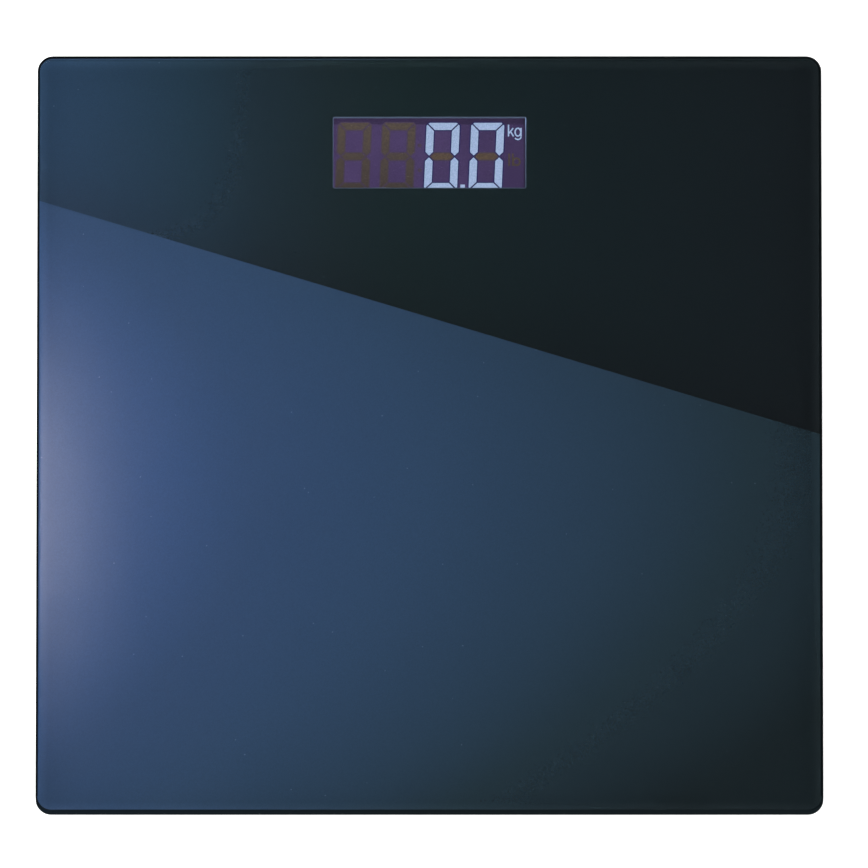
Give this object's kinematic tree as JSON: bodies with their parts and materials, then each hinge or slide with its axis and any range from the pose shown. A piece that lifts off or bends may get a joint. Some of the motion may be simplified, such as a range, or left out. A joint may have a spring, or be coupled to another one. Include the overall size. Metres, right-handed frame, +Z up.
{
  "type": "digital bathroom scale",
  "caption": "Square glass-topped digital bathroom scale with a display window near one edge, load-cell feet that play in their housings, a sliding battery door and a unit push button.",
  "frame": {"origin": "on the floor, under the middle of the glass", "axes": "+Z up, +Y towards the display end, +X to the right of someone reading the display"},
  "size_m": [0.3, 0.3, 0.024],
  "materials": {
    "clear_glass": "polished toughened glass",
    "printed_ink": "two-tone metallic ink under the glass",
    "foam_tape": "double-sided foam tape",
    "black_abs": "fine spark-eroded texture",
    "cell_steel": "stamped and zinc plated",
    "white_silicone": "cured silicone",
    "grey_rubber": "moulded",
    "zinc_screw": "zinc plated",
    "white_nylon": "moulded",
    "wire_insulation": "extruded",
    "black_foam": "die-cut foam",
    "display_glass": "polarised",
    "white_diffuser": "frosted film",
    "clear_acrylic": "clear",
    "led_package": "moulded",
    "zebra_elastomer": "layered elastomer",
    "white_abs": "moulded",
    "green_board": "solder mask",
    "black_epoxy": "cured drop",
    "component_bodies": "moulded",
    "switch_body": "moulded",
    "grey_button": "moulded",
    "battery_sleeve": "plain sleeve",
    "nickel_plate": "nickel plated"
  },
  "bodies": {
    "scale_body": {"backlight_leds": "led_package", "battery_contacts": "nickel_plate", "battery_front": "battery_sleeve", "battery_leads": "wire_insulation", "battery_rear": "battery_sleeve", "battery_springs": "nickel_plate", "board_components": "component_bodies", "board_screws": "zinc_screw", "cell_screws": "zinc_screw", "circuit_board": "green_board", "control_chip": "black_epoxy", "diffuser_film": "white_diffuser", "display_frame": "white_abs", "foot_housing_front_left": "black_abs", "foot_housing_front_right": "black_abs", "foot_housing_rear_left": "black_abs", "foot_housing_rear_right": "black_abs", "foot_tape_front_left": "foam_tape", "foot_tape_front_right": "foam_tape", "foot_tape_rear_left": "foam_tape", "foot_tape_rear_right": "foam_tape", "gauge_coatings": "white_silicone", "glass_platform": "clear_glass", "lcd_front_glass": "display_glass", "lcd_rear_glass": "display_glass", "lead_clips": "white_nylon", "light_guide": "clear_acrylic", "load_cell_front_left": "cell_steel", "load_cell_front_right": "cell_steel", "load_cell_lead_front_left": "wire_insulation", "load_cell_lead_front_right": "wire_insulation", "load_cell_lead_rear_left": "wire_insulation", "load_cell_lead_rear_right": "wire_insulation", "load_cell_rear_left": "cell_steel", "load_cell_rear_right": "cell_steel", "pod_cover": "black_abs", "pod_housing": "black_abs", "pod_screws": "zinc_screw", "pod_tape": "foam_tape", "printed_film": "printed_ink", "retaining_ring_front_left": "black_abs", "retaining_ring_front_right": "black_abs", "retaining_ring_rear_left": "black_abs", "retaining_ring_rear_right": "black_abs", "ring_screws": "zinc_screw", "tact_switch": "switch_body", "window_gasket": "black_foam", "zebra_strip": "zebra_elastomer"},
    "sliding_door": {"battery_door": "black_abs"},
    "push_button": {"unit_button": "grey_button", "tact_plunger": "switch_body"},
    "foot_front_left": {"foot_cup_front_left": "black_abs", "foot_pad_front_left": "grey_rubber"},
    "foot_front_right": {"foot_cup_front_right": "black_abs", "foot_pad_front_right": "grey_rubber"},
    "foot_rear_left": {"foot_cup_rear_left": "black_abs", "foot_pad_rear_left": "grey_rubber"},
    "foot_rear_right": {"foot_cup_rear_right": "black_abs", "foot_pad_rear_right": "grey_rubber"}
  },
  "joints": [
    {"name": "foot_play_front_left", "type": "slide", "parent": "scale_body", "child": "foot_front_left", "axis": [0, 0, 1], "range_m": [-0.0008, 0]},
    {"name": "foot_play_front_right", "type": "slide", "parent": "scale_body", "child": "foot_front_right", "axis": [0, 0, 1], "range_m": [-0.0008, 0]},
    {"name": "foot_play_rear_left", "type": "slide", "parent": "scale_body", "child": "foot_rear_left", "axis": [0, 0, 1], "range_m": [-0.0008, 0]},
    {"name": "foot_play_rear_right", "type": "slide", "parent": "scale_body", "child": "foot_rear_right", "axis": [0, 0, 1], "range_m": [-0.0008, 0]},
    {"name": "battery_door_slide", "type": "slide", "parent": "scale_body", "child": "sliding_door", "axis": [0, -1, 0], "range_m": [0, 0.026]},
    {"name": "unit_button_press", "type": "slide", "parent": "scale_body", "child": "push_button", "axis": [0, 0, 1], "range_m": [0, 0.0005], "stiffness_N_per_m": 2000, "springref_m": -0.0005}
  ]
}
